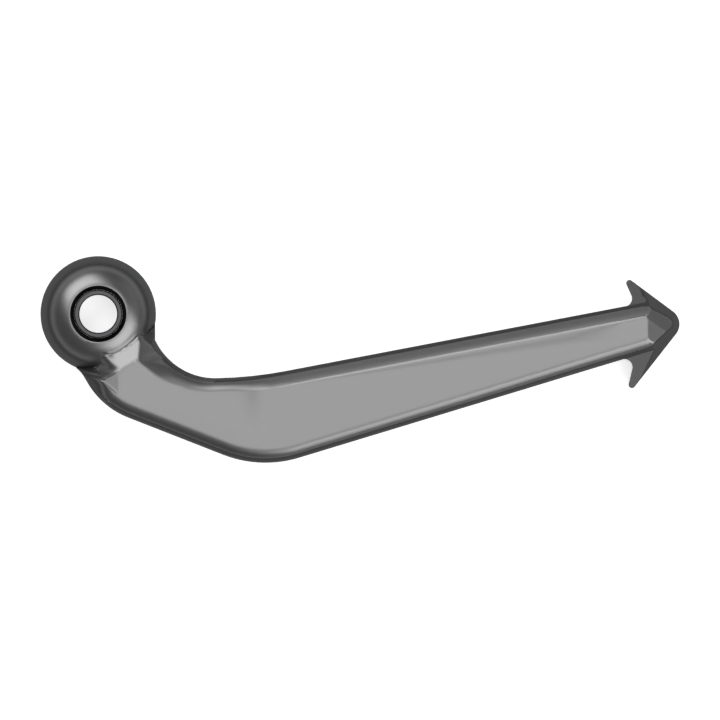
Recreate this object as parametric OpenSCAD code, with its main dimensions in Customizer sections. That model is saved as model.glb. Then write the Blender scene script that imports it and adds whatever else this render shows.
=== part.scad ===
// Guard for the brake lever of a motorcycle, fixed to the end of the handlebar.
// A round eye takes the bar-end bolt through a metal bush, and a flat arm with
// rounded edges reaches forward from it to an arrow-shaped nose beyond the tip
// of the lever. The origin is on the bolt's axis in the flat back face, +Z
// points out of the front and +X towards the nose.

/* [Eye] */
// Diameter of the round eye
eye_d = 28.9; // [27.5:0.1:30]
// Thickness of the eye and of the arm
guard_t = 12; // [11:0.1:14]
// Radius of the dome's section
dome_r = 9.25; // [9:0.05:9.6]
// Width of the flat lip round the bush pocket
lip_w = 0.3; // [0.2:0.1:1]
// Radial width of the steep band round the dome
eye_band_w = 1.7; // [1.2:0.1:2]
// Height of the upright wall below the steep band
eye_wall_h = 3.8; // [2:0.1:4.5]
// Chamfer round the back face, where the eye sits on the bar end
eye_chamfer = 0.3; // [0.1:0.05:0.4]

/* [Bush] */
// Bore of the bush, which clears an M8 bolt
bore_d = 9.4; // [8.4:0.1:10]
// Wall of the bush
bush_wall = 1.35; // [1:0.05:1.7]
// Chamfer on the ends of the bush
bush_chamfer = 0.3; // [0.1:0.05:0.5]
// How far the bush stays below the lip
bush_recess = 0.5; // [0:0.1:1.5]
// Clearance round the bush where it is pressed in
bush_fit = 0.02; // [0.01:0.01:0.05]
// Radial width of the open pocket round the front of the bush
pocket_gap = 1; // [0.5:0.05:1.2]
// Depth of that pocket
pocket_depth = 4; // [1:0.5:7]

/* [Arm sections] */
// Width of the rounding along both long sides
edge_w = 3.75; // [3:0.05:4.2]
// Drop of that rounding from the flat face to its steep band
edge_drop = 1.25; // [0.8:0.05:1.8]
// Drop of the bevel that takes its place along the upper side
bevel_drop = 1.95; // [1.6:0.05:2.2]
// Distance from the bolt to where the rounding starts to turn into the bevel
bevel_x = 33; // [30:0.5:36]
// Length over which it turns into the bevel
bevel_run = 11; // [8:0.5:16]
// Width of the steep band along the sides
side_band_w = 0.9; // [0.5:0.1:1.5]
// Height of the steep band along the sides
side_band_h = 2.2; // [1:0.1:3]
// Rounding of the back edges
back_r = 0.8; // [0.3:0.1:1]
// How far the back of the arm stays above the seat of the eye
back_step = 0.5; // [0.45:0.05:0.8]

/* [Arm outline] */
// Rise of the upper side towards the nose, in degrees
upper_rise = 10.8; // [9.5:0.1:12]
// Rise of the lower side towards the nose, in degrees
lower_rise = 16.9; // [15.5:0.1:17.5]
// Distance of the elbow's sharp corner from the bolt, towards the nose
elbow_x = 40.6; // [38:0.2:43]
// Drop of the elbow's sharp corner below the bolt
elbow_down = 38.9; // [38:0.1:40]
// Radius under the elbow
elbow_r = 29; // [22:1:34]
// Distance of the heel's sharp corner from the bolt, towards the nose
heel_x = 0.75; // [0.5:0.05:1]
// Drop of the heel's sharp corner below the bolt
heel_down = 23.3; // [23:0.1:23.6]
// Radius at the heel
heel_r = 20.3; // [18:0.1:22]
// Direction of the side that runs up from the heel to the eye, in degrees
heel_rise = 119.6; // [118:0.1:121]
// Fillet between that side and the eye
heel_fillet_r = 7.5; // [5:0.5:9]
// Distance of the inside bend's centre from the bolt, towards the nose
bend_x = 29.25; // [29:0.05:29.5]
// Height of the inside bend's centre above the bolt
bend_up = 0.55; // [0.3:0.05:0.8]
// Radius of the inside bend
bend_r = 16.6; // [16:0.1:17.2]
// Radius of the long sweep from the bend to the upper side
sweep_r = 102; // [85:1:120]

/* [Neck] */
// Width of the flat face where it ends at the eye
neck_flat_w = 4.9; // [4:0.1:5.5]
// Direction of that end, in degrees
neck_turn = 29; // [27:0.5:31]
// Length of the rounding from there down to the dome
neck_edge_w = 5.7; // [5:0.1:6]
// Width of the rounding beside the end of the flat face, towards the inside bend
neck_side_w = 5.95; // [5.6:0.05:6.4]
// How much deeper the surface falls beside the neck, towards the heel
neck_fall = 1.2; // [0.5:0.1:1.5]
// Drop of the small facet beside the neck
neck_facet_drop = 0.35; // [0.1:0.05:0.6]

/* [Nose] */
// Distance from the bolt to where the barbs leave the arm
reach_x = 134.3; // [125:0.5:145]
// Length of the nose from there to its sharp corner
nose_l = 12.7; // [12:0.1:13.5]
// Drop of the nose's corner below the bolt
nose_down = 1.8; // [1.4:0.1:2.2]
// Rounding of that corner
nose_r = 4; // [3:0.1:5]
// How far the upper barb's sharp tip reaches back
upper_barb_back = 3.6; // [3:0.1:4.2]
// Height of the upper barb's sharp tip above the bolt
upper_barb_up = 10.3; // [9.8:0.1:11]
// How far the lower barb's sharp tip reaches back
lower_barb_back = 2.6; // [2:0.1:3.2]
// Drop of the lower barb's sharp tip below the bolt
lower_barb_down = 21.3; // [20.8:0.1:22]
// Rounding of the tips of the barbs
barb_r = 0.85; // [0.6:0.05:1]
// Fillet between the barbs and the arm
crotch_r = 2; // [1:0.1:2.4]
// Height of the nose's upright edge
nose_edge_h = 4; // [3:0.1:5]
// Steepness of the bevel along the upper side of the nose, in degrees
upper_nose_bevel = 62; // [59:1:66]
// Steepness of the bevel along the lower side of the nose, in degrees
lower_nose_bevel = 73; // [69:1:76]
// Length of the flat face beyond where the barbs leave the arm
flat_over = 3.1; // [2.5:0.1:3.6]
// Steepness of the lower facet beyond the flat face, in degrees
lower_facet_tilt = 27; // [24:1:30]
// Steepness of the upper facet beyond the flat face, in degrees
upper_facet_tilt = 43; // [40:1:46]
// Direction that the upper facet looks in, in degrees
upper_facet_turn = 28; // [24:1:32]
// Distance of the corner between both facets from the upper edge of the flat face
facet_corner_in = 2; // [1.5:0.1:2.5]
// Steepness of the top of the upper barb, in degrees
upper_barb_tilt = 45; // [40:1:50]
// Steepness of the top of the lower barb, in degrees
lower_barb_tilt = 35; // [30:1:40]

/* [Hidden] */

elbow = [elbow_x, -elbow_down];
heel = [heel_x, -heel_down];
bend = [bend_x, bend_up];
nose = [reach_x + nose_l, -nose_down];
upper_barb = [reach_x - upper_barb_back, upper_barb_up];
lower_barb = [reach_x - lower_barb_back, -lower_barb_down];
flat_end = reach_x + flat_over;

eye_r = eye_d / 2;
bush_r = bore_d / 2 + bush_wall;
pocket_r = bush_r + pocket_gap;
lip_r = pocket_r + lip_w;
dome_x = eye_r - dome_r;
dome_z = guard_t - sqrt(pow(dome_r, 2) - pow(lip_r - dome_x, 2));
eye_band_x = eye_r - eye_band_w;
eye_band_z = dome_z + sqrt(pow(dome_r, 2) - pow(eye_band_x - dome_x, 2));

side_wall_h = guard_t - edge_drop - side_band_h;
wall_step = 0.45;
neck_wall_h = eye_wall_h + wall_step;
elbow_fall = atan2(heel[1] - elbow[1], elbow[0] - heel[0]);

turn_step = 3;       // degrees between two points of an arc
round_steps = 7;     // steps across the rounding of the sides
back_steps = 2;      // steps round the back edges
dome_steps = 9;      // steps across the dome
eye_faces = 120;     // steps round the eye and the bush
seat = 0.05;         // how far a piece that is joined on stays inside a wall
head_lift = 0.2;     // how far the nose's plate stays inside the faces of the arm
over = 1;            // how far a cut runs beyond the faces
guard_w = 30;        // width of the part across the arm, for the blocks that cut it
tip_over = 1.5;      // how far the arm runs on under the facets of the nose
plate_run = 4;       // how far the nose's plate runs back inside the arm
plate_x = reach_x - plate_run;
tip_x = flat_end + tip_over;

function polar(a, r = 1) = [r * cos(a), r * sin(a)];
function mix(a, b, t) = a + (b - a) * t;
function ease(t) = let (u = max(0, min(1, t))) u * u * (3 - 2 * u);
function ramp(a, b, n) = [for (i = [0 : n]) mix(a, b, i / n)];
function steps(a, b) = ceil(abs(b - a) / turn_step);
// Where the line through p in direction a meets the line through q in direction b
function meet(p, a, q, b) =
    let (d = q - p)
    p + polar(a, (d[0] * sin(b) - d[1] * cos(b)) / sin(b - a));
// Points of an arc about c from angle a to angle b in n steps
function arc(c, r, a, b, n) = [for (t = ramp(a, b, n)) c + polar(t, r)];

// Lower side: fillet at the eye, round heel, straight, round elbow, straight
heel_side = heel_rise + 90;
elbow_side = 270 - elbow_fall;
lower_side = 270 + lower_rise;
heel_c = heel + polar((heel_side + elbow_side) / 2 - 180,
    heel_r / cos((elbow_side - heel_side) / 2));
elbow_c = elbow + polar((elbow_side + lower_side) / 2 - 180,
    elbow_r / cos((lower_side - elbow_side) / 2));
fillet_off = heel * polar(heel_side) + heel_fillet_r;
fillet_c = polar(heel_side, fillet_off)
    - polar(heel_rise, sqrt(pow(eye_r + heel_fillet_r, 2) - pow(fillet_off, 2)));
fillet_overlap = 9;
fillet_from = atan2(-fillet_c[1], -fillet_c[0]) - fillet_overlap;
fillet_to = heel_side - 180;

// Upper side: straight, long sweep, inside bend up to the eye
sweep_side = 271;
upper_side = 270 + upper_rise;
bend_end = 205;
neck_side = 211.4;
sweep_c = bend + polar(sweep_side, bend_r - sweep_r);
upper_foot = sweep_c + polar(upper_side, sweep_r);

// Corners of the flat face at the neck
neck_a = bend + polar(neck_side, bend_r + neck_side_w);
neck_b = neck_a - polar(neck_turn, neck_flat_w);
facet_tip_turn = 217;
facet_tip = heel_c + polar(facet_tip_turn, heel_r - edge_w);
facet_top = [neck_b[0] - 0.3, facet_tip[1] + 0.2];

// Where the sides meet the end of the arm and the crotches of the barbs
function upper_y(x, inset = 0) =
    upper_foot[1] + (x - upper_foot[0]) * tan(upper_rise) - inset / cos(upper_rise);
function lower_y(x, inset = 0) =
    elbow[1] + (x - elbow[0]) * tan(lower_rise) + inset / cos(lower_rise);

fillet_n = steps(fillet_from, fillet_to);
heel_n = steps(heel_side, elbow_side);
elbow_n = steps(elbow_side, lower_side);
sweep_n = steps(upper_side, sweep_side);
bend_n = steps(sweep_side, bend_end);

lower_n = fillet_n + heel_n + elbow_n + 4;
shoulder_turn = -11;
buried_turn = -100;

// Outline of the arm at its walls, anticlockwise from the fillet at the eye
arm_base = concat(
    arc(fillet_c, heel_fillet_r, fillet_from, fillet_to, fillet_n),
    arc(heel_c, heel_r, heel_side + 1, elbow_side, heel_n),
    arc(elbow_c, elbow_r, elbow_side, lower_side, elbow_n),
    [[tip_x, lower_y(tip_x)], [tip_x, upper_y(tip_x)]],
    arc(sweep_c, sweep_r, upper_side, sweep_side, sweep_n),
    [for (i = [1 : bend_n]) bend + polar(mix(sweep_side, bend_end, i / bend_n), bend_r)],
    [polar(shoulder_turn, eye_r + seat),
     neck_a + polar(neck_turn + 90, neck_edge_w),
     neck_b + polar(neck_turn + 115, neck_edge_w),
     polar(buried_turn, eye_r * 0.84)]
);

// Outline of the flat face, point for point with the outline at the walls
arm_flat = concat(
    [for (i = [0 : fillet_n]) mix(facet_top, facet_tip, i / (fillet_n + 1))],
    arc(heel_c, heel_r - edge_w, facet_tip_turn, elbow_side, heel_n),
    arc(elbow_c, elbow_r - edge_w, elbow_side, lower_side, elbow_n),
    [[tip_x, lower_y(tip_x, edge_w)], [tip_x, upper_y(tip_x, edge_w)]],
    arc(sweep_c, sweep_r + edge_w, upper_side, sweep_side, sweep_n),
    [for (i = [1 : bend_n])
        let (t = i / bend_n)
        bend + polar(mix(sweep_side, neck_side, t), bend_r + mix(edge_w, neck_side_w, t))],
    [mix(neck_a, neck_b, 0.2), mix(neck_a, neck_b, 0.4), neck_b,
     mix(neck_b, facet_top, 0.6)]
);

// Height of the wall below each point: the arm's own, and the eye's beside it
arm_wall = concat(
    [for (i = [0 : fillet_n]) mix(neck_wall_h, side_wall_h, 0.5 * ease(i / fillet_n))],
    [for (i = [0 : heel_n]) mix(neck_wall_h, side_wall_h, 0.5 + 0.5 * ease(2 * i / heel_n))],
    [for (i = [0 : elbow_n + 2 + sweep_n + 1]) side_wall_h],
    [for (i = [1 : bend_n])
        mix(neck_wall_h, side_wall_h, 0.4 + 0.6 * ease(2 * (1 - i / bend_n)))],
    [for (i = [1 : 4]) neck_wall_h]
);

// Share of the bevel in the edge at each point: it runs along the upper side only
arm_bevel = [for (i = [0 : len(arm_base) - 1])
    i < lower_n ? 0 : ease((arm_base[i][0] - bevel_x) / bevel_run)];

// Power by which the edge falls away at each point: more beside the neck
arm_fall = concat(
    [for (i = [0 : fillet_n]) 1 + neck_fall],
    [for (i = [0 : heel_n]) 1 + neck_fall * ease(1 - 2 * i / heel_n)],
    [for (i = [0 : elbow_n + 2 + sweep_n + 1 + bend_n]) 1],
    [1, 1, 1, 1 + neck_fall]
);

// Number of the point where the neck's facet meets the side again
facet_root = fillet_n + 1 + ceil(heel_n * 0.48);

// Height of the flat face at each point: it falls away at the neck's facet
function facet_z(p) =
    guard_t - neck_facet_drop
    * max(0, min(1, (facet_top[0] - p[0]) / (facet_top[0] - facet_tip[0])));
arm_top = [for (i = [0 : len(arm_flat) - 1])
    i < facet_root ? facet_z(arm_flat[i]) : guard_t];

// Edge of the sides: share of the way in, and share of the way up to the flat face,
// first where it is rounded and then where it is bevelled
round_w = edge_w - side_band_w;
round_r = (pow(round_w, 2) + pow(edge_drop, 2)) / (2 * edge_drop);
round_turn = asin(round_w / round_r);
bevel_bow = 1.15;
side_profile = concat([[0, 0, 0]], [for (a = ramp(round_turn, 0, round_steps))
    [1 - round_r * sin(a) / edge_w,
     1 - round_r * (1 - cos(a)) / (edge_drop + side_band_h),
     1 - bevel_drop * pow(round_r * sin(a) / round_w, bevel_bow) / (edge_drop + side_band_h)]]);

// Points moved by w from the outline towards the points of another
function moved_in(pts, inner, w) = [for (i = [0 : len(pts) - 1])
    pts[i] + (inner[i] - pts[i]) / norm(inner[i] - pts[i]) * w];
function raised(pts, z) = [for (p = pts) [p[0], p[1], z]];
function back_rings(pts, inner) = [for (a = ramp(0, 90, back_steps))
    raised(moved_in(pts, inner, back_r * (1 - sin(a))),
        back_step + back_r * (1 - cos(a)))];

// Triangles that fill a ring between two chains of its points, given by number,
// each time across the shorter diagonal
function filled(ring, a, b, i = 0, j = 0) =
    let (more_a = i < len(a) - 1, more_b = j < len(b) - 1)
    !more_a && !more_b ? [] :
    more_a && (!more_b || norm(ring[a[i + 1]] - ring[b[j]]) < norm(ring[a[i]] - ring[b[j + 1]]))
        ? concat([[a[i], a[i + 1], b[j]]], filled(ring, a, b, i + 1, j))
        : concat([[a[i], b[j + 1], b[j]]], filled(ring, a, b, i, j + 1));

// Solid through rings of equally many points, from the back to the front. The first
// points of each ring, up to number lower_n, are those of the lower side, and the
// front has a facet of its own up to number facet_root.
module arm() {
    rings = concat(
        back_rings(arm_base, arm_flat),
        [for (s = side_profile) [for (i = [0 : len(arm_base) - 1])
            let (p = mix(arm_base[i], arm_flat[i], s[0]),
                up = pow(mix(s[1], s[2], arm_bevel[i]), arm_fall[i]))
            [p[0], p[1], mix(arm_wall[i], arm_top[i], up)]]]);
    n = len(arm_base);
    last = len(rings) - 1;
    upper = [for (i = [n - 1 : -1 : lower_n]) i];
    back = filled(rings[0], [for (i = [0 : lower_n - 1]) i], upper);
    flat = filled(rings[last], [for (i = [facet_root : lower_n - 1]) i], concat([0], upper));
    facet = [for (i = [0 : facet_root - 2]) [i, i + 1, facet_root]];
    sides = [for (k = [0 : last - 1]) for (i = [0 : n - 1])
        let (a = k * n + i, b = k * n + (i + 1) % n)
        each [[a, b + n, b], [a, a + n, b + n]]];
    front = [for (t = concat(flat, facet)) [for (i = [2, 1, 0]) last * n + t[i]]];
    polyhedron([for (r = rings) each r], concat(back, sides, front), convexity = 6);
}

module eye() {
    dome = arc([dome_x, dome_z], dome_r,
        atan2(eye_band_z - dome_z, eye_band_x - dome_x),
        atan2(guard_t - dome_z, lip_r - dome_x), dome_steps);
    rotate_extrude($fn = eye_faces) polygon(concat(
        [[bush_r + bush_fit, 0],
         [eye_r - eye_chamfer, 0],
         [eye_r, eye_chamfer],
         [eye_r, eye_wall_h]],
        dome,
        [[bush_r + bush_fit, guard_t]]
    ));
}

// Block whose lower face passes through p at height z, falls by tilt towards
// facing and cuts off what lies above
module above(p, z, facing, tilt) {
    translate([p[0], p[1], z]) rotate([0, 0, facing]) rotate([0, tilt, 0])
        translate([-2 * guard_w, -2 * guard_w, 0]) cube(4 * guard_w);
}

function bearing(p, q) = atan2(q[1] - p[1], q[0] - p[0]);
// Round corner of radius r at q between p and s, either way round
function corner(p, q, s, r) =
    let (a = bearing(q, p), b = bearing(q, s), open = acos(polar(a) * polar(b)),
        c = q + (polar(a) + polar(b)) / norm(polar(a) + polar(b)) * r / sin(open / 2),
        from = bearing(c, q + polar(a, r / tan(open / 2))),
        turn = (bearing(c, q + polar(b, r / tan(open / 2))) - from + 540) % 360 - 180)
    arc(c, r, from, from + turn, max(2, steps(0, turn) / 2));

upper_crotch = [reach_x, upper_y(reach_x, seat)];
lower_crotch = [reach_x, lower_y(reach_x, seat)];
upper_root = [plate_x, upper_y(plate_x, seat)];
lower_root = [plate_x, lower_y(plate_x, seat)];
head_outline = concat(
    [lower_root],
    corner(lower_root, lower_crotch, lower_barb, crotch_r),
    corner(lower_crotch, lower_barb, nose, barb_r),
    corner(lower_barb, nose, upper_barb, nose_r),
    corner(nose, upper_barb, upper_crotch, barb_r),
    corner(upper_barb, upper_crotch, upper_root, crotch_r),
    [upper_root]
);

// Arrow-shaped plate under the end of the arm, with the tops of both barbs
module head() {
    difference() {
        translate([0, 0, back_step + head_lift])
            linear_extrude(guard_t - back_step - 2 * head_lift) polygon(head_outline);
        above(upper_crotch, side_wall_h, 90 + upper_rise, upper_barb_tilt);
        above(lower_crotch, side_wall_h, lower_rise - 90, lower_barb_tilt);
    }
}

// Everything that the bevel round the nose leaves
module nose_bevel_space() {
    top = guard_t + over;
    upper_inset = (top - nose_edge_h) / tan(upper_nose_bevel);
    lower_inset = (top - nose_edge_h) / tan(lower_nose_bevel);
    up = bearing(nose, upper_barb);
    down = bearing(nose, lower_barb);
    leg = 2 * guard_w;
    top_tip = meet(nose + polar(up + 90, upper_inset), up,
        nose + polar(down - 90, lower_inset), down);
    hull() {
        linear_extrude(nose_edge_h) polygon(concat(
            [nose + polar(up, leg), nose + polar(down, leg)],
            corner(lower_barb, nose, upper_barb, nose_r)));
        translate([0, 0, top]) linear_extrude(seat) polygon([
            top_tip + polar(up, leg), top_tip + polar(down, leg), top_tip]);
    }
}

module guard() {
    facet_corner = [flat_end, upper_y(flat_end, edge_w + facet_corner_in)];
    color("dimgray") difference() {
        union() {
            eye();
            intersection() {
                union() {
                    arm();
                    head();
                }
                union() {
                    nose_bevel_space();
                    translate([-eye_d, -2 * guard_w, -over])
                        cube([plate_x + plate_run / 2 + eye_d, 4 * guard_w, guard_t + 3 * over]);
                }
            }
        }
        above(facet_corner, guard_t, 0, lower_facet_tilt);
        above(facet_corner, guard_t, upper_facet_turn, upper_facet_tilt);
        translate([0, 0, guard_t - pocket_depth])
            cylinder(pocket_depth + over, r = pocket_r, $fn = eye_faces);
        translate([0, 0, -over])
            cylinder(guard_t + 2 * over, r = bush_r + bush_fit, $fn = eye_faces);
    }
}

module bush() {
    bush_len = guard_t - bush_recess;
    color("silver") rotate_extrude($fn = eye_faces) polygon([
        [bore_d / 2, bush_chamfer],
        [bore_d / 2 + bush_chamfer, 0],
        [bush_r - bush_chamfer, 0],
        [bush_r, bush_chamfer],
        [bush_r, bush_len - bush_chamfer],
        [bush_r - bush_chamfer, bush_len],
        [bore_d / 2 + bush_chamfer, bush_len],
        [bore_d / 2, bush_len - bush_chamfer]
    ]);
}

guard();
bush();
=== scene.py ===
"""Looks of a brake lever guard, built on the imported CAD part.

The guard lies on its back on a pale floor and is seen straight from above, at the
scale of the part's photograph. Units are metres, in the frame of the CAD part.
"""

import logging
import math
from collections.abc import Callable
from dataclasses import dataclass
from enum import Enum

import bmesh
import bpy
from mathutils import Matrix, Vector

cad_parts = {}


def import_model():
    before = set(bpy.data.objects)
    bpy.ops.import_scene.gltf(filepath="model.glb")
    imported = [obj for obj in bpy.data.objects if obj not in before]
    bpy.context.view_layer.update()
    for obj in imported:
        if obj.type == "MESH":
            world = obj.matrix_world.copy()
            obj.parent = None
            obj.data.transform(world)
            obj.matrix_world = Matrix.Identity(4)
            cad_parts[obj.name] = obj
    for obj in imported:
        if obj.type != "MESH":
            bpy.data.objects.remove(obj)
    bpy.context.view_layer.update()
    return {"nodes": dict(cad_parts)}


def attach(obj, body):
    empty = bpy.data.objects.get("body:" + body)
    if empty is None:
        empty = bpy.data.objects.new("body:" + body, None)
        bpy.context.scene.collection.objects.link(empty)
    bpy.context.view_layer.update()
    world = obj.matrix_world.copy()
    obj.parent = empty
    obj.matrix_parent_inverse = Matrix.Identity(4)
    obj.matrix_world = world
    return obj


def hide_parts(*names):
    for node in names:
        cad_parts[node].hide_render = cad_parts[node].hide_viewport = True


LOG = logging.getLogger("guard_scene")

MM = 0.001
"""One millimetre in metres."""

VIEW_CENTRE = (0.06544, -0.011525)
VIEW_WIDTH = 0.180
VIEW_HEIGHT = 0.6
VIEW_DEPTH = (0.01, 5.0)
"""Place, width and height of the camera, and how near and far it sees, in metres."""

FLOOR_SIZE = 8.0
WORLD_LEVEL = 0.055
"""Strength of the even light that fills the room."""


class Surface(Enum):
    """Kinds of surface that a finish can have."""

    MOULDED = "moulded"
    TURNED = "turned"
    FLOOR = "floor"


@dataclass(frozen=True)
class Finish:
    """One finish as plain numbers.

    Args:
        name: name of the material.
        surface: kind of surface.
        colour: linear base colour.
        roughness: mean roughness.
        metallic: 1 for metal, 0 for plastic.
        ior: refractive index.
        specular: strength of the sheen, 0.5 for plain plastic.
        coat: strength of the clear top layer.
        grain: size of the grain in metres.
        grain_depth: height of the grain in metres.
        painted_side_shade: linear base colour of the steep sides, darker as painted shade.
        side_roughness: roughness of the sides.
        side_specular: strength of the sheen on the sides.
        painted_pocket_shade: linear base colour inside the pocket round the bush, dark as
            painted shade.
    """

    name: str
    surface: Surface
    colour: tuple[float, float, float]
    roughness: float
    metallic: float = 0.0
    ior: float = 1.5
    specular: float = 0.5
    coat: float = 0.0
    grain: float = 0.0005
    grain_depth: float = 0.0
    painted_side_shade: tuple[float, float, float] = (0.0, 0.0, 0.0)
    side_roughness: float = 0.5
    side_specular: float = 0.5
    painted_pocket_shade: tuple[float, float, float] = (0.025, 0.025, 0.025)


# The plastic's side colour is painted shade on its steep sides, and its pocket colour is
# painted shade in the pocket round the bush.
PLASTIC = Finish("guard_plastic", Surface.MOULDED, (0.04, 0.04, 0.041), 0.32,
                 ior=1.8, specular=1.0, coat=1.0, grain=0.00035, grain_depth=0.000004,
                 painted_side_shade=(0.023, 0.023, 0.024), side_roughness=0.7, side_specular=0.15)
ANODISED = Finish("bush_metal", Surface.TURNED, (0.1, 0.1, 0.104), 0.45, 1.0,
                  grain=0.0002, grain_depth=0.000004)
PAPER = Finish("studio_floor", Surface.FLOOR, (0.86, 0.86, 0.86), 0.9)

SIDE_FROM = 0.84
SIDE_TO = 0.62
# Upward share of the surface's direction at which the sides' painted shade and rougher
# finish start and are full.
"""Upward share of the surface's direction at which the sides' finish starts and is full."""

GRAIN_DETAIL = 3.0
GRAIN_ROUGHNESS = 0.6

FLOOR_LIFT = 0.7
"""Light that the floor adds of its own where it is seen."""

POCKET_SHADE_R = 0.00707
# Radius within which the moulding gets painted shade, as the pocket round the bush.
"""Radius within which the moulding is the unlit pocket round the bush."""

MIX_NUMBERS = ("FLOAT", (2, 3), 0)
MIX_COLOURS = ("RGBA", (6, 7), 2)
"""Data type of a mix node, with the places of its two inputs and of its output."""


class MaterialMaker:
    """Makes the procedural materials."""

    def __init__(self, finish: Finish) -> None:
        """Starts a material.

        Args:
            finish: the finish to make.
        """
        self.finish = finish
        self.material = bpy.data.materials.new(finish.name)
        self.material.use_nodes = True
        self.tree = self.material.node_tree
        self.shader = self.tree.nodes["Principled BSDF"]

    def _node(self, kind: str, **values: float) -> bpy.types.Node:
        """Adds a node and sets its inputs.

        Args:
            kind: Blender's node type.
            **values: values of inputs, with _ for a space in the name.

        Returns:
            The new node.
        """
        node = self.tree.nodes.new(kind)
        for key, value in values.items():
            node.inputs[key.replace("_", " ")].default_value = value
        return node

    def _fill(self, socket: bpy.types.NodeSocket, value: object) -> None:
        """Gives an input its value or its link.

        Args:
            socket: the input.
            value: a number, a colour or the output that feeds it.
        """
        if isinstance(value, bpy.types.NodeSocket):
            self.tree.links.new(value, socket)
        else:
            socket.default_value = value

    def _mix(self, kind: tuple[str, tuple[int, int], int], share: bpy.types.NodeSocket,
             low: object, high: object) -> bpy.types.NodeSocket:
        """Blends two numbers or two colours.

        Args:
            kind: MIX_NUMBERS or MIX_COLOURS.
            share: how much of the second counts.
            low: the first, as a value or an output.
            high: the second, as a value or an output.

        Returns:
            The output with the blend.
        """
        data_type, ends, result = kind
        node = self.tree.nodes.new("ShaderNodeMix")
        node.data_type = data_type
        self._fill(node.inputs[0], share)
        for end, value in zip(ends, (low, high)):
            self._fill(node.inputs[end], value)
        return node.outputs[result]

    def _math(self, operation: str, first: object, second: object
              ) -> bpy.types.NodeSocket:
        """Works out one sum.

        Args:
            operation: Blender's name of the operation.
            first: a number or an output.
            second: a number or an output.

        Returns:
            The output with the result.
        """
        node = self.tree.nodes.new("ShaderNodeMath")
        node.operation = operation
        self._fill(node.inputs[0], first)
        self._fill(node.inputs[1], second)
        return node.outputs[0]

    def build(self) -> bpy.types.Material:
        """Builds the node tree.

        Returns:
            The finished material.
        """
        finish = self.finish
        self.shader.inputs["Base Color"].default_value = (*finish.colour, 1.0)
        self.shader.inputs["Metallic"].default_value = finish.metallic
        self.shader.inputs["Roughness"].default_value = finish.roughness
        self.shader.inputs["IOR"].default_value = finish.ior
        self.shader.inputs["Specular IOR Level"].default_value = finish.specular
        self.shader.inputs["Coat Weight"].default_value = finish.coat
        self.shader.inputs["Coat Roughness"].default_value = finish.roughness
        if finish.surface is Surface.FLOOR:
            self._bright_when_seen()
            return self.material
        if finish.surface is Surface.MOULDED:
            self._painted_shade_and_rough_sides()
        coords = self.tree.nodes.new("ShaderNodeTexCoord")
        grain = self._node("ShaderNodeTexNoise", Scale=1.0 / finish.grain,
                           Detail=GRAIN_DETAIL, Roughness=GRAIN_ROUGHNESS)
        self.tree.links.new(coords.outputs["Object"], grain.inputs["Vector"])
        bump = self._node("ShaderNodeBump", Strength=1.0, Distance=finish.grain_depth)
        self.tree.links.new(grain.outputs["Fac"], bump.inputs["Height"])
        self.tree.links.new(bump.outputs["Normal"], self.shader.inputs["Normal"])
        return self.material

    def _painted_shade_and_rough_sides(self) -> None:
        """Paints shade on the steep sides and in the pocket, takes the sheen out of the
        pocket, and makes the sides rougher with less sheen.
        """
        finish, links = self.finish, self.tree.links
        coords = self.tree.nodes.new("ShaderNodeTexCoord")
        parts = self.tree.nodes.new("ShaderNodeSeparateXYZ")
        links.new(coords.outputs["Normal"], parts.inputs["Vector"])
        upward = self.tree.nodes.new("ShaderNodeMapRange")
        upward.interpolation_type = "SMOOTHSTEP"
        upward.inputs["From Min"].default_value = SIDE_TO
        upward.inputs["From Max"].default_value = SIDE_FROM
        links.new(parts.outputs["Z"], upward.inputs["Value"])
        share = upward.outputs["Result"]
        outside_pocket_shade = self._outside_pocket_shade(coords)
        # Painted shade: the steep sides get a darker base colour by their surface
        # direction.
        colour = self._mix(MIX_COLOURS, share, (*finish.painted_side_shade, 1.0),
                           (*finish.colour, 1.0))
        # Painted shade: the pocket round the bush gets a near-black base colour.
        colour = self._mix(MIX_COLOURS, outside_pocket_shade, (*finish.painted_pocket_shade, 1.0), colour)
        links.new(colour, self.shader.inputs["Base Color"])
        roughness = self._mix(MIX_NUMBERS, share, finish.side_roughness, finish.roughness)
        links.new(roughness, self.shader.inputs["Roughness"])
        # Painted shade: the pocket loses its sheen and coat; the sides get less sheen.
        for name, side, main in (
                ("Specular IOR Level", finish.side_specular, finish.specular),
                ("Coat Weight", 0.0, finish.coat)):
            sheen = self._mix(MIX_NUMBERS, share, side, main)
            links.new(self._math("MULTIPLY", sheen, outside_pocket_shade), self.shader.inputs[name])

    def _outside_pocket_shade(self, coords: bpy.types.Node) -> bpy.types.NodeSocket:
        """Tells the open surface from the pocket round the bush, which gets painted shade.

        Args:
            coords: the texture coordinates.

        Returns:
            An output that is 1 in the open and 0 in the pocket's painted shade.
        """
        flat = self.tree.nodes.new("ShaderNodeVectorMath")
        flat.operation = "MULTIPLY"
        flat.inputs[1].default_value = (1.0, 1.0, 0.0)
        away = self.tree.nodes.new("ShaderNodeVectorMath")
        away.operation = "LENGTH"
        self.tree.links.new(coords.outputs["Object"], flat.inputs[0])
        self.tree.links.new(flat.outputs["Vector"], away.inputs[0])
        return self._math("GREATER_THAN", away.outputs["Value"], POCKET_SHADE_R)

    def _bright_when_seen(self) -> None:
        """Lifts the floor to white where it is seen, and keeps the shadow on it."""
        path = self.tree.nodes.new("ShaderNodeLightPath")
        seen = path.outputs["Is Camera Ray"]
        for name in ("Is Glossy Ray", "Is Transmission Ray"):
            seen = self._math("MAXIMUM", seen, path.outputs[name])
        self.shader.inputs["Emission Color"].default_value = (1.0, 1.0, 1.0, 1.0)
        self.tree.links.new(self._math("MULTIPLY", seen, FLOOR_LIFT),
                            self.shader.inputs["Emission Strength"])


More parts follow.
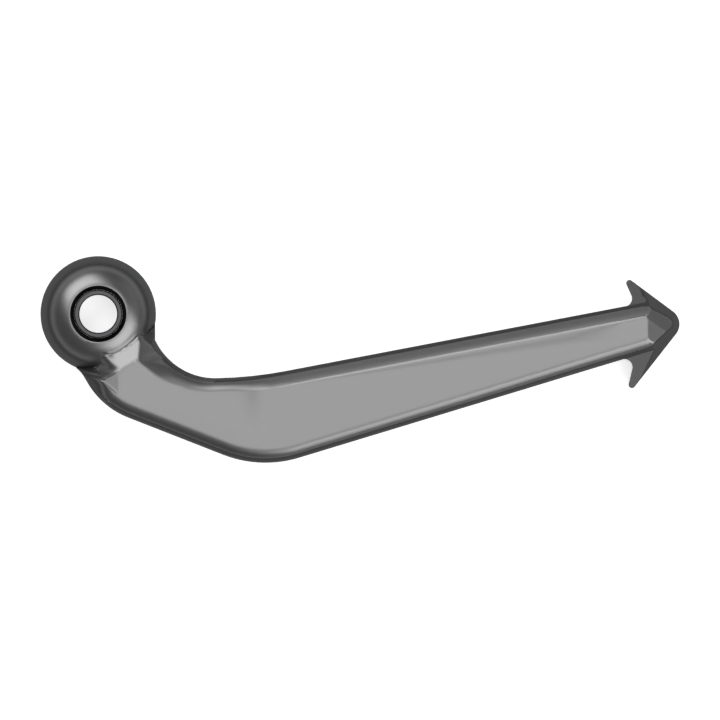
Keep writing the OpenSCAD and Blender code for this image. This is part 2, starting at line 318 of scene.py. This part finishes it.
def roll(t: float, radius: float, slope: float) -> float:
    """Drop of a surface that rounds over from level into an even slope.

    Args:
        t: distance past the start of the rounding.
        radius: radius of the rounding.
        slope: fall of the surface beyond it.

    Returns:
        The drop.
    """
    if t <= 0.0:
        return 0.0
    full = slope * radius
    return t * t / (2 * radius) if t < full else slope * (t - full / 2)


def ramp(t: float, start: float, length: float) -> float:
    """Smooth step from 0 to 1.

    Args:
        t: the place.
        start: place up to which the share is 0.
        length: distance from there to where it is 1.

    Returns:
        The share.
    """
    share = min(1.0, max(0.0, (t - start) / length))
    return share * share * (3 - 2 * share)


def soft_min(a: float, b: float, soft: float) -> float:
    """Lesser of two heights, with the ridge between them rounded softly.

    Args:
        a: one height.
        b: the other height.
        soft: difference in height below which both are blended.

    Returns:
        The height.
    """
    near = max(soft - abs(a - b), 0.0) / soft
    return min(a, b) - near * near * soft / 4


def along(p: tuple[float, float], start: tuple[float, float], turn_deg: float) -> float:
    """Distance of a point from a start, measured in one direction.

    Args:
        p: the point.
        start: where the distance is zero.
        turn_deg: the direction, anticlockwise from +X, in degrees.

    Returns:
        The distance.
    """
    turn = math.radians(turn_deg)
    return (p[0] - start[0]) * math.cos(turn) + (p[1] - start[1]) * math.sin(turn)


@dataclass(frozen=True)
class Slope:
    """A straight edge and the surface that rolls down from it, in millimetres.

    Args:
        start: a point of the edge.
        turn_deg: the way it falls, anticlockwise from +X, in degrees.
        radius: radius of its rounding.
        fall: its slope beyond the rounding.
    """

    start: tuple[float, float]
    turn_deg: float
    radius: float
    fall: float

    def past(self, p: tuple[float, float]) -> float:
        """Distance of a point past the edge.

        Args:
            p: the point.

        Returns:
            The distance.
        """
        return along(p, self.start, self.turn_deg)

    def drop(self, p: tuple[float, float]) -> float:
        """Drop of the surface at a point.

        Args:
            p: the point.

        Returns:
            The drop.
        """
        return roll(self.past(p), self.radius, self.fall)


@dataclass(frozen=True)
class NeckShape:
    """Shape of the front where the arm leaves the eye, in millimetres.

    A pair named fade holds where a share starts and the distance over which it grows.

    Args:
        top: height of the flat face.
        dome_ring: radius of the ring that is the dome's crown.
        dome_r: radius of the dome's section.
        dome_foot: height of that section's centre.
        bend: centre of the inside bend.
        bend_r: radius of the part's side there.
        bend_from: angle at which the bend starts, in degrees.
        bend_span: angle that it covers, in degrees.
        edge_width: width of the rounded edge at the neck.
        edge_loss: how much narrower it is past the bend.
        edge_radius: radius of its rounding.
        edge_fall: its slope beyond the rounding.
        side: a point of the flat face's side above the bend.
        side_lean: how much that side leans, as a share.
        side_fade: pair along Y, from the bend's edge to that side.
        facet_x: where the small facet meets the flat face.
        facet_fall: slope of the facet.
        ledge: edge of the facet towards the hollow, and the wall below it.
        wall_end: slope by which the wall ends at the flat face.
        end: the bright slope towards the eye.
        end_loss: share of it that is gone in the hollow.
        end_fade: pair past the hollow's edge.
        hollow: the surface that falls into the hollow.
        hollow_x_fade: pair along X, where the hollow ends above the ledge.
        hollow_fade: pair past the ledge, where it is full again.
        corner: the surface that cuts the slope's upper corner.
        groove: depth of the crease between the dome and the arm.
        groove_reach: difference of their heights within which it lies.
        groove_fade: pair past the ledge.
        eye_fade: pair outward from the bolt.
        heel_fade: pair along X.
        bend_fade: pair round the bend, as a share.
        upper_fade: pair against Y.
        arm_side: the arm's outer side, a point and the way inward in degrees.
        arm_side_fade: distance from it over which the new shape grows.
        arm_side_more: how much longer that is near the heel.
        arm_side_x_fade: pair against X, for the heel.
        keep_aside: distance beside the face from which nothing rises.
    """

    top: float = 12.0
    dome_ring: float = 5.2
    dome_r: float = 9.25
    dome_foot: float = 3.003
    bend: tuple[float, float] = (29.25, 0.55)
    bend_r: float = 16.6
    bend_from: float = 211.4
    bend_span: float = 59.6
    edge_width: float = 5.95
    edge_loss: float = 2.2
    edge_radius: float = 1.4
    edge_fall: float = 0.55
    side: tuple[float, float] = (9.7, -11.2)
    side_lean: float = 0.085
    side_fade: tuple[float, float] = (-12.8, 2.4)
    facet_x: float = 5.2
    facet_fall: float = 0.12
    ledge: Slope = Slope((5.14, -14.3), 122.0, 0.0, 0.95)
    wall_end: float = 4.0
    end: Slope = Slope((10.3, -11.8), 119.1, 3.0, 0.4)
    end_loss: float = 0.8
    end_fade: tuple[float, float] = (0.0, 2.8)
    hollow: Slope = Slope((5.9, -12.8), 213.0, 3.4, 1.2)
    hollow_x_fade: tuple[float, float] = (4.9, 0.6)
    hollow_fade: tuple[float, float] = (0.0, 0.6)
    corner: Slope = Slope((10.6, -6.9), 50.0, 1.5, 1.0)
    groove: float = 0.2
    groove_reach: float = 0.45
    groove_fade: tuple[float, float] = (0.0, 1.5)
    eye_fade: tuple[float, float] = (9.2, 0.8)
    heel_fade: tuple[float, float] = (-2.0, 2.4)
    bend_fade: tuple[float, float] = (0.0, 0.6)
    upper_fade: tuple[float, float] = (2.2, 1.6)
    arm_side: tuple[tuple[float, float], float] = ((1.07, -16.85), 55.5)
    arm_side_fade: float = 0.25
    arm_side_more: float = 1.6
    arm_side_x_fade: tuple[float, float] = (-2.0, 2.0)
    keep_aside: float = 2.0

    def edge(self, p: tuple[float, float]) -> tuple[float, float]:
        """Tells where a point lies beside the flat face along the inside bend.

        Args:
            p: the point.

        Returns:
            Distance outside the flat face, and share of the way round the bend, which
            is 0 at the neck.
        """
        x, y = p
        dx, dy = x - self.bend[0], y - self.bend[1]
        turn = math.degrees(math.atan2(dy, dx)) % 360.0
        share = min(1.0, max(0.0, (turn - self.bend_from) / self.bend_span))
        width = self.edge_width - self.edge_loss * share
        by_bend = self.bend_r + width - math.hypot(dx, dy)
        by_line = x - self.side[0] - self.side_lean * (y - self.side[1])
        aside = by_bend + (by_line - by_bend) * ramp(y, *self.side_fade)
        return aside, share

    def facet(self, x: float) -> float:
        """Height of the flat face and of the small facet beside it.

        Args:
            x: place towards the nose.

        Returns:
            The height.
        """
        return self.top - self.facet_fall * max(0.0, self.facet_x - x)

    def surfaces(self, p: tuple[float, float]) -> tuple[float, float]:
        """Heights of the dome and of the arm's end.

        Args:
            p: the point.

        Returns:
            The two heights.
        """
        away = math.hypot(*p) - self.dome_ring
        dome = self.dome_foot + math.sqrt(max(0.0, self.dome_r ** 2 - away ** 2))
        right = roll(self.edge(p)[0], self.edge_radius, self.edge_fall)
        past = self.ledge.past(p)
        if past <= 0.0:
            return dome, self.top - right
        end = self.end.drop(p)
        end *= 1.0 - self.end_loss * ramp(self.hollow.past(p), *self.end_fade)
        left = self.hollow.drop(p)
        above = ramp(p[0], *self.hollow_x_fade)
        left *= 1.0 - above * (1.0 - ramp(past, *self.hollow_fade))
        return dome, self.top - end - right - left - self.corner.drop(p)

    def sharp(self, p: tuple[float, float]) -> float:
        """Height of the front with hard creases.

        Args:
            p: the point.

        Returns:
            The height.
        """
        past = self.ledge.past(p)
        if self.on_facet(p, past):
            return self.facet(p[0])
        form = max(self.surfaces(p))
        if past <= 0.0:
            return form
        wall = self.facet(p[0]) - self.ledge.fall * past
        return max(form, wall - self.wall_end * max(0.0, p[0] - self.facet_x))

    def on_facet(self, p: tuple[float, float], past: float) -> bool:
        """Tells whether a point is on the small facet's side of both its edges.

        Args:
            p: the point.
            past: its distance past the ledge.

        Returns:
            Whether it is.
        """
        return past <= 0.0 and p[0] < self.facet_x

    def height(self, x: float, y: float, z: float) -> float:
        """Height of the front, with soft creases, blended into the CAD's.

        Args:
            x: place towards the nose.
            y: place across.
            z: height of the CAD front there.

        Returns:
            The height.
        """
        p = (x, y)
        aside, round_bend = self.edge(p)
        side_fade = (self.arm_side_fade
                     + self.arm_side_more * ramp(-x, *self.arm_side_x_fade))
        share = (ramp(math.hypot(x, y), *self.eye_fade) * ramp(x, *self.heel_fade)
                 * (1.0 - ramp(round_bend, *self.bend_fade)) * ramp(-y, *self.upper_fade)
                 * ramp(along(p, *self.arm_side), 0.0, side_fade))
        if share <= 0.0:
            return z
        past = self.ledge.past(p)
        if self.on_facet(p, past):
            form = self.facet(x)
        else:
            near = [self.sharp((x + far * math.cos(turn), y + far * math.sin(turn)))
                    for far, turn in SOFTENING]
            dome, arm = self.surfaces(p)
            groove = self.groove * max(0.0, 1.0 - abs(dome - arm) / self.groove_reach)
            form = sum(near) / len(near) - groove * ramp(past, *self.groove_fade)
        if aside > self.keep_aside:
            form = min(form, z)
        return z + (form - z) * share


@dataclass(frozen=True)
class ArmEdge:
    """Rounded or bevelled edge along one long side of the arm, in millimetres.

    Args:
        start: a point of the side.
        inward_deg: the way inward, anticlockwise from +X, in degrees.
        drop: drop of the edge down to its steep band.
        bow: power by which it falls away, 1 for a plane bevel.
        barb_fall: slope outward from the side, on the barb.
        top: height of the flat face.
        foot: height of the steep band's foot.
        band: width of the steep band.
        width: distance from the side to the flat face.
    """

    start: tuple[float, float]
    inward_deg: float
    drop: float
    bow: float
    barb_fall: float
    top: float = 12.0
    foot: float = 8.55
    band: float = 0.9
    width: float = 3.75

    def inward(self, p: tuple[float, float]) -> float:
        """Distance of a point inward from the side.

        Args:
            p: the point.

        Returns:
            The distance.
        """
        return along(p, self.start, self.inward_deg)

    def height(self, p: tuple[float, float]) -> float:
        """Height of the arm near the side.

        Args:
            p: the point.

        Returns:
            The height.
        """
        inward = self.inward(p)
        if inward < self.band:
            return self.foot + (self.top - self.drop - self.foot) * inward / self.band
        left = max(0.0, (self.width - inward) / (self.width - self.band))
        return self.top - self.drop * left ** self.bow

    def barb_height(self, p: tuple[float, float]) -> float:
        """Height of the barb outside the side.

        Args:
            p: the point.

        Returns:
            The height.
        """
        return self.foot + self.barb_fall * self.inward(p)


@dataclass(frozen=True)
class NoseShape:
    """Shape of the front at the nose, in millimetres.

    Args:
        upper: the arm's upper side.
        lower: the arm's lower side.
        keep_x: place up to which the CAD's height stays.
        facets_from: corner from which the two facets fall.
        top: height of the flat face.
        lower_fall: slope of the lower facet along X.
        upper_fall: slope of the upper facet along X and Y.
        facets_x: place from which the facets are there.
        soft: difference in height within which facets and bevel are blended.
        tip: centre of the rounded tip.
        tip_r: radius of the tip.
        tip_sides: directions of the tip's lower and upper side, in degrees.
        bevel_foot: height of the bevel at the outline.
        bevel_fall: slope of the bevel.
    """

    upper: ArmEdge = ArmEdge((134.3, 2.371), 280.8, 1.95, 1.15, 1.0)
    lower: ArmEdge = ArmEdge((134.3, -10.381), 106.9, 1.25, 2.1, 0.7)
    keep_x: float = 136.2
    facets_from: tuple[float, float] = (137.4, -1.0)
    top: float = 12.0
    lower_fall: float = 0.47
    upper_fall: tuple[float, float] = (0.66, 0.266)
    facets_x: float = 136.0
    soft: float = 0.4
    tip: tuple[float, float] = (141.32, -2.56)
    tip_r: float = 4.0
    tip_sides: tuple[float, float] = (-38.1, 53.4)
    bevel_foot: float = 4.0
    bevel_fall: float = 2.5

    def arm(self, p: tuple[float, float], z: float) -> float:
        """Height of the arm and the barbs.

        Args:
            p: the point.
            z: height of the CAD front there.

        Returns:
            The height.
        """
        sides = (self.upper, self.lower)
        if all(side.inward(p) > 0.0 for side in sides):
            base = min(side.height(p) for side in sides)
        else:
            base = min(side.barb_height(p) for side in sides)
        if p[0] < self.keep_x or (p[0] < self.facets_from[0] and z > base):
            return z
        return base

    def inside(self, p: tuple[float, float]) -> float:
        """Distance of a point inward from the nose's outline.

        Args:
            p: the point.

        Returns:
            The distance.
        """
        lower, upper = self.tip_sides
        turn = math.degrees(math.atan2(p[1] - self.tip[1], p[0] - self.tip[0]))
        if lower < turn < upper:
            return self.tip_r - math.dist(p, self.tip)
        return min(self.tip_r - along(p, self.tip, side) for side in self.tip_sides)

    def height(self, x: float, y: float, z: float) -> float:
        """Height of the front.

        Args:
            x: place towards the nose.
            y: place across.
            z: height of the CAD front there.

        Returns:
            The height.
        """
        p = (x, y)
        form = self.bevel_foot + self.bevel_fall * self.inside(p)
        if x > self.facets_x:
            dx, dy = x - self.facets_from[0], y - self.facets_from[1]
            lower = self.top - self.lower_fall * dx
            upper = self.top - self.upper_fall[0] * dx - self.upper_fall[1] * dy
            form = soft_min(min(lower, upper), form, self.soft)
        return min(self.arm(p, z), form)


SOFTENING = ((0.0, 0.0), *((far, math.tau * i / 6 + far) for far in (0.45, 0.9)
                           for i in range(6)))
"""Places round a point, as distance and direction, whose heights are averaged."""


@dataclass(frozen=True)
class Patch:
    """Part of the front that is cut finely and gets its own heights.

    Args:
        low: lower corner of its box, in millimetres.
        high: upper corner of its box, in millimetres.
        step: distance between cuts, in millimetres.
        height: gives the new height from a place and the CAD's height there.
    """

    low: tuple[float, float]
    high: tuple[float, float]
    step: float
    height: Callable[[float, float, float], float]


PATCHES = (
    Patch((-2.2, -21.0), (21.5, -2.0), 0.3, NeckShape().height),
    Patch((131.0, -21.0), (145.6, 9.6), 0.3, NoseShape().height),
)

JOIN = 0.00002
"""Distance within which the CAD mesh's points become one, in metres."""

CUT_SNAP = 0.000001
WELD = 0.000002
"""Distances in a patch within which a cut keeps to a point and points become one."""

GUARD_CREASE = 24.0
BUSH_CREASE = 25.0
FINE_CREASE = 30.0
"""Angle from which an edge stays sharp on each piece and in a patch, in degrees."""

FRONT_SHARE = 0.2
"""Upward share of a face's direction from which it belongs to the front."""


def reshape(work: bmesh.types.BMesh, patch: Patch) -> set[bmesh.types.BMEdge]:
    """Cuts the front finely inside a patch and moves its points to their new heights.

    Args:
        work: the mesh, in metres.
        patch: the part to shape.

    Returns:
        The edges of the part.
    """
    low = [v * MM for v in patch.low]
    high = [v * MM for v in patch.high]
    faces = [f for f in work.faces if f.normal.z > FRONT_SHARE
             and all(min(v.co[a] for v in f.verts) < high[a]
                     and max(v.co[a] for v in f.verts) > low[a] for a in (0, 1))]
    front = set(faces)
    corners = {v for f in faces for v in f.verts}
    faces += [f for f in work.faces if f not in front and corners.issuperset(f.verts)]
    geom = list({*faces, *(e for f in faces for e in f.edges),
                 *(v for f in faces for v in f.verts)})
    for axis in (0, 1):
        normal = Vector((0.0, 0.0, 0.0))
        normal[axis] = 1.0
        cuts = math.ceil((high[axis] - low[axis]) / (patch.step * MM))
        for i in range(cuts + 1):
            point = Vector((0.0, 0.0, 0.0))
            point[axis] = low[axis] + (high[axis] - low[axis]) * i / cuts
            geom = bmesh.ops.bisect_plane(work, geom=geom, plane_co=point,
                                          plane_no=normal, dist=CUT_SNAP)["geom"]
    faces = [f for f in geom if isinstance(f, bmesh.types.BMFace)]
    faces = bmesh.ops.triangulate(work, faces=faces)["faces"]
    for vert in {v for f in faces for v in f.verts}:
        x, y, z = (c / MM for c in vert.co)
        if all(patch.low[a] <= (x, y)[a] <= patch.high[a] for a in (0, 1)):
            vert.co.z = patch.height(x, y, z) * MM
    verts = [v for v in work.verts if all(low[a] <= v.co[a] <= high[a] for a in (0, 1))]
    bmesh.ops.remove_doubles(work, verts=verts, dist=WELD)
    edges = {e for v in verts if v.is_valid for e in v.link_edges}
    bmesh.ops.dissolve_degenerate(work, edges=list(edges), dist=WELD)
    return {e for f in faces if f.is_valid for e in f.edges}


class CadPiece:
    """A CAD node that is shown as it is, or by a merged and smoothly shaded copy."""

    def __init__(self, node: bpy.types.Object, name: str, slot: str,
                 material: bpy.types.Material) -> None:
        """Remembers the node and what it becomes.

        Args:
            node: the CAD node.
            name: name of the piece.
            slot: the record's material slot; not used.
            material: its finish.
        """
        self.node = node
        self.name = name
        self.slot = slot
        self.material = material

    def merged(self, crease_deg: float, patches: tuple[Patch, ...] = ()) -> None:
        """Makes the copy with joined points and creases only where it turns sharply.

        Args:
            crease_deg: angle between faces from which an edge stays sharp.
            patches: parts of the front that are shaped anew.
        """
        mesh = bpy.data.meshes.new(self.name)
        work = bmesh.new()
        work.from_mesh(self.node.data)
        work.transform(self.node.matrix_world)
        bmesh.ops.remove_doubles(work, verts=work.verts, dist=JOIN)
        bmesh.ops.dissolve_degenerate(work, dist=JOIN, edges=work.edges)
        bmesh.ops.recalc_face_normals(work, faces=work.faces)
        fine = set()
        for patch in patches:
            fine |= reshape(work, patch)
        work.normal_update()
        for face in work.faces:
            face.smooth = True
            face.material_index = 0
        for edge in work.edges:
            limit = math.radians(FINE_CREASE if edge in fine else crease_deg)
            edge.smooth = len(edge.link_faces) == 2 and edge.calc_face_angle(0.0) < limit
        work.to_mesh(mesh)
        work.free()
        mesh.materials.clear()
        mesh.materials.append(self.material)
        obj = bpy.data.objects.new(self.name, mesh)
        bpy.context.collection.objects.link(obj)
        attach(obj, "root")
        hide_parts(self.node.name)
        LOG.info("%s: %d faces", self.name, len(mesh.polygons))


@dataclass(frozen=True)
class Lamp:
    """A soft rectangular lamp.

    Args:
        name: name of the lamp.
        turn: compass direction that it stands in, anticlockwise from +X, in degrees.
        tilt: angle from straight above, in degrees.
        distance: distance from the aim in metres.
        size: width and depth in metres.
        power: power in watts.
    """

    name: str
    turn: float
    tilt: float
    distance: float
    size: tuple[float, float]
    power: float


LAMPS = (
    Lamp("lamp_above", 125.0, 0.0, 3.0, (1.6, 1.6), 15.8),
    Lamp("lamp_upper_left", 124.0, 42.0, 3.0, (2.5, 2.1), 50.0),
    Lamp("lamp_lower_right", 317.0, 42.0, 3.0, (2.6, 2.1), 50.0),
    Lamp("lamp_upper_right", 30.0, 60.0, 3.0, (2.5, 1.6), 3.5),
)


class Studio:
    """Floor, lamps, world and camera."""

    def __init__(self, aim: Vector) -> None:
        """Remembers where the studio looks.

        Args:
            aim: centre of the view on the floor.
        """
        self.aim = aim

    def floor(self, material: bpy.types.Material) -> None:
        """Lays the floor.

        Args:
            material: finish of the floor.
        """
        bpy.ops.mesh.primitive_plane_add(size=FLOOR_SIZE,
                                         location=(self.aim.x, self.aim.y, 0.0))
        plane = bpy.context.object
        plane.name = "floor"
        plane.data.materials.append(material)

    def lamp(self, lamp: Lamp) -> None:
        """Hangs one lamp.

        Args:
            lamp: its place and power.
        """
        data = bpy.data.lights.new(lamp.name, "AREA")
        data.shape = "RECTANGLE"
        data.size, data.size_y = lamp.size
        data.energy = lamp.power
        obj = bpy.data.objects.new(lamp.name, data)
        turn, tilt = math.radians(lamp.turn), math.radians(lamp.tilt)
        away = Vector((math.cos(turn) * math.sin(tilt), math.sin(turn) * math.sin(tilt),
                       math.cos(tilt)))
        obj.location = self.aim + away * lamp.distance
        obj.rotation_mode = "QUATERNION"
        obj.rotation_quaternion = away.to_track_quat("Z", "Y")
        bpy.context.collection.objects.link(obj)

    def world(self, level: float) -> None:
        """Fills the room with even light.

        Args:
            level: strength of the even light.
        """
        world = bpy.data.worlds.new("studio")
        bpy.context.scene.world = world
        world.use_nodes = True
        back = world.node_tree.nodes["Background"]
        back.inputs["Color"].default_value = (1.0, 1.0, 1.0, 1.0)
        back.inputs["Strength"].default_value = level

    def camera(self) -> None:
        """Places the camera straight above, with no perspective."""
        data = bpy.data.cameras.new("camera")
        data.type = "ORTHO"
        data.ortho_scale = VIEW_WIDTH
        data.clip_start, data.clip_end = VIEW_DEPTH
        obj = bpy.data.objects.new("camera", data)
        obj.location = (*VIEW_CENTRE, VIEW_HEIGHT)
        bpy.context.collection.objects.link(obj)
        bpy.context.scene.camera = obj


def main() -> None:
    """Builds the scene."""
    logging.basicConfig(level=logging.INFO)
    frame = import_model()
    scene = bpy.context.scene
    scene.view_settings.view_transform = "Standard"
    nodes = frame["nodes"]
    plastic = MaterialMaker(PLASTIC).build()
    metal = MaterialMaker(ANODISED).build()
    guard = CadPiece(nodes["guard"], "guard_moulding", "guard", plastic)
    guard.merged(GUARD_CREASE, PATCHES)
    CadPiece(nodes["bush"], "bush_sleeve", "bush", metal).merged(BUSH_CREASE)
    studio = Studio(Vector((*VIEW_CENTRE, 0.0)))
    studio.floor(MaterialMaker(PAPER).build())
    for lamp in LAMPS:
        studio.lamp(lamp)
    studio.world(WORLD_LEVEL)
    studio.camera()
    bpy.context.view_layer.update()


if __name__ == "__main__":
    main()
